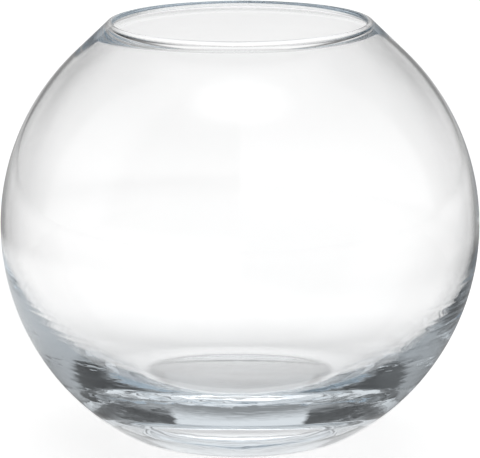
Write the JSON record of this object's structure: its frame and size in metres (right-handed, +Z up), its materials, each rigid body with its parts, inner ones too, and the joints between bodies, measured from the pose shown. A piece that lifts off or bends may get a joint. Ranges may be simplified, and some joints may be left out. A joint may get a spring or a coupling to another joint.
{
  "type": "rose bowl vase",
  "caption": "Round clear glass vase: a globe with an open, fire-polished mouth, an even blown wall and a heavy base that is ground flat to stand on a table.",
  "frame": {"origin": "centre of the flat face that the vase stands on, on the table plane", "axes": "+Z up along the axis of the bowl, from the foot to the mouth; the vase is round, so X and Y may be any two square directions"},
  "size_m": [0.2, 0.2, 0.1753],
  "materials": {
    "clear_glass": "clear and polished"
  },
  "bodies": {
    "root": {"heavy_base": "clear_glass", "blown_wall": "clear_glass", "shoulder": "clear_glass", "polished_lip": "clear_glass"}
  },
  "joints": []
}
